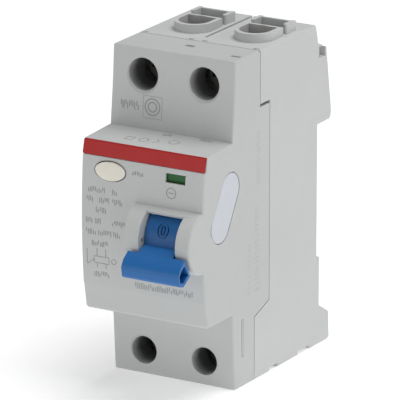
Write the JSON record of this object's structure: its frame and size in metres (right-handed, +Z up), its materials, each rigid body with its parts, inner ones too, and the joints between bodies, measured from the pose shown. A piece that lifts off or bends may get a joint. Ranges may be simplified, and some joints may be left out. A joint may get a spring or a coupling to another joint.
{
  "type": "residual current device",
  "caption": "Two-module residual current device for a 35 mm rail, with a blue toggle, oval test button, status window and screw terminals that clamp.",
  "frame": {"origin": "centre of the rail seat, on the plane that touches the rail's front face", "axes": "+Z up along the housing towards the line terminals, +Y back towards the rail, the toggle faces -Y, +X to the right of a viewer facing the toggle"},
  "size_m": [0.035, 0.0752, 0.0875],
  "materials": {
    "base_moulding": "satin",
    "cover_moulding": "satin",
    "inner_moulding": "satin",
    "red_moulding": "satin",
    "plug_moulding": "satin",
    "black_moulding": "satin",
    "blue_moulding": "satin",
    "lever_moulding": "satin",
    "button_moulding": "satin",
    "green_moulding": "satin",
    "resistor_body": "lacquered",
    "lead_insulation": "satin",
    "sensor_lead_insulation": "satin",
    "blue_insulation": "satin",
    "brown_insulation": "satin",
    "core_iron": "ground",
    "enamelled_wire": "lacquered",
    "copper_braid": "woven",
    "brass": "satin",
    "copper": "satin",
    "contact_silver": "satin",
    "spring_steel": "drawn",
    "zinc_steel": "zinc plated",
    "plated_steel": "nickel plated"
  },
  "bodies": {
    "housing": {"rear_base": "base_moulding", "front_cover": "cover_moulding", "mechanism_frame": "inner_moulding", "colour_band": "red_moulding", "side_plug": "plug_moulding", "line_strip_left": "copper", "line_strip_right": "copper", "load_strip_left": "copper", "load_strip_right": "copper", "fixed_contact_left": "contact_silver", "fixed_contact_right": "contact_silver", "carrier_pin": "zinc_steel", "braid_left": "copper_braid", "braid_right": "copper_braid", "primary_conductor_left": "blue_insulation", "primary_conductor_right": "brown_insulation", "sensor_core": "core_iron", "sensor_winding": "enamelled_wire", "sensor_case": "black_moulding", "sensor_lid": "black_moulding", "sensor_leads": "sensor_lead_insulation", "relay_base": "black_moulding", "relay_can": "plated_steel", "relay_coil": "enamelled_wire", "relay_yoke": "core_iron", "relay_spring": "spring_steel", "toggle_pin": "zinc_steel", "trip_lever_pin": "zinc_steel", "trip_spring": "spring_steel", "test_contact": "brass", "test_resistor": "resistor_body", "test_leads": "lead_insulation"},
    "clip": {"rail_clip": "inner_moulding"},
    "toggle": {"toggle": "blue_moulding", "toggle_spring": "spring_steel"},
    "link": {"link_rod": "zinc_steel"},
    "carrier": {"contact_carrier": "black_moulding", "moving_arm_left": "copper", "moving_arm_right": "copper", "moving_contact_left": "contact_silver", "moving_contact_right": "contact_silver", "contact_spring_left": "spring_steel", "contact_spring_right": "spring_steel"},
    "flag": {"indicator_flag": "green_moulding"},
    "button": {"test_button": "button_moulding"},
    "plunger": {"relay_plunger": "red_moulding"},
    "trip": {"trip_lever": "lever_moulding"},
    "screw_line_left": {"terminal_screw_line_left": "zinc_steel"},
    "cage_line_left": {"terminal_cage_line_left": "plated_steel"},
    "screw_line_right": {"terminal_screw_line_right": "zinc_steel"},
    "cage_line_right": {"terminal_cage_line_right": "plated_steel"},
    "screw_load_left": {"terminal_screw_load_left": "zinc_steel"},
    "cage_load_left": {"terminal_cage_load_left": "plated_steel"},
    "screw_load_right": {"terminal_screw_load_right": "zinc_steel"},
    "cage_load_right": {"terminal_cage_load_right": "plated_steel"}
  },
  "joints": [
    {"name": "toggle_swing", "type": "hinge", "parent": "housing", "child": "toggle", "pos_m": [0, -0.0534, 0.0013], "axis": [-1, 0, 0], "range_deg": [0, 52]},
    {"name": "link_swing", "type": "hinge", "parent": "toggle", "child": "link", "pos_m": [0, -0.0483, 0.00336], "axis": [1, 0, 0], "range_deg": [0, 55.1]},
    {"name": "carrier_swing", "type": "hinge", "parent": "housing", "child": "carrier", "pos_m": [0, -0.034, -0.01], "axis": [1, 0, 0], "range_deg": [0, 21.6]},
    {"name": "flag_swing", "type": "hinge", "parent": "housing", "child": "flag", "pos_m": [0, -0.0489, 0.0169], "axis": [-1, 0, 0], "range_deg": [0, 21.5]},
    {"name": "button_press", "type": "slide", "parent": "housing", "child": "button", "axis": [0, 1, 0], "range_m": [0, 0.0016], "stiffness_N_per_m": 300, "springref_m": -0.002},
    {"name": "clip_slide", "type": "slide", "parent": "housing", "child": "clip", "axis": [0, 0, -1], "range_m": [0, 0.0032], "stiffness_N_per_m": 3000, "springref_m": -0.001},
    {"name": "plunger_slide", "type": "slide", "parent": "housing", "child": "plunger", "axis": [0, -1, 0], "range_m": [0, 0.0015], "stiffness_N_per_m": 200, "springref_m": -0.001},
    {"name": "trip_swing", "type": "hinge", "parent": "housing", "child": "trip", "pos_m": [0, -0.0255, 0.005], "axis": [1, 0, 0], "range_deg": [0, 7.8]},
    {"name": "screw_turn_line_left", "type": "hinge", "parent": "housing", "child": "screw_line_left", "pos_m": [-0.00875, -0.03, 0.03735], "axis": [0, 1, 0], "range_deg": [0, 2476]},
    {"name": "cage_travel_line_left", "type": "slide", "parent": "housing", "child": "cage_line_left", "axis": [0, -1, 0], "range_m": [0, 0.0055]},
    {"name": "screw_turn_line_right", "type": "hinge", "parent": "housing", "child": "screw_line_right", "pos_m": [0.00875, -0.03, 0.03735], "axis": [0, 1, 0], "range_deg": [0, 2476]},
    {"name": "cage_travel_line_right", "type": "slide", "parent": "housing", "child": "cage_line_right", "axis": [0, -1, 0], "range_m": [0, 0.0055]},
    {"name": "screw_turn_load_left", "type": "hinge", "parent": "housing", "child": "screw_load_left", "pos_m": [-0.00875, -0.03, -0.03455], "axis": [0, 1, 0], "range_deg": [0, 2476]},
    {"name": "cage_travel_load_left", "type": "slide", "parent": "housing", "child": "cage_load_left", "axis": [0, -1, 0], "range_m": [0, 0.0055]},
    {"name": "screw_turn_load_right", "type": "hinge", "parent": "housing", "child": "screw_load_right", "pos_m": [0.00875, -0.03, -0.03455], "axis": [0, 1, 0], "range_deg": [0, 2476]},
    {"name": "cage_travel_load_right", "type": "slide", "parent": "housing", "child": "cage_load_right", "axis": [0, -1, 0], "range_m": [0, 0.0055]}
  ],
  "couplings": [
    {"joint": "link_swing", "follows": "toggle_swing", "ratio": 1.0575},
    {"joint": "carrier_swing", "follows": "toggle_swing", "ratio": 0.415},
    {"joint": "flag_swing", "follows": "toggle_swing", "ratio": 0.4134},
    {"joint": "trip_swing", "follows": "plunger_slide", "rad_per_m": 90},
    {"joint": "screw_turn_line_left", "follows": "cage_travel_line_left", "rad_per_m": 7854},
    {"joint": "screw_turn_line_right", "follows": "cage_travel_line_right", "rad_per_m": 7854},
    {"joint": "screw_turn_load_left", "follows": "cage_travel_load_left", "rad_per_m": 7854},
    {"joint": "screw_turn_load_right", "follows": "cage_travel_load_right", "rad_per_m": 7854}
  ]
}
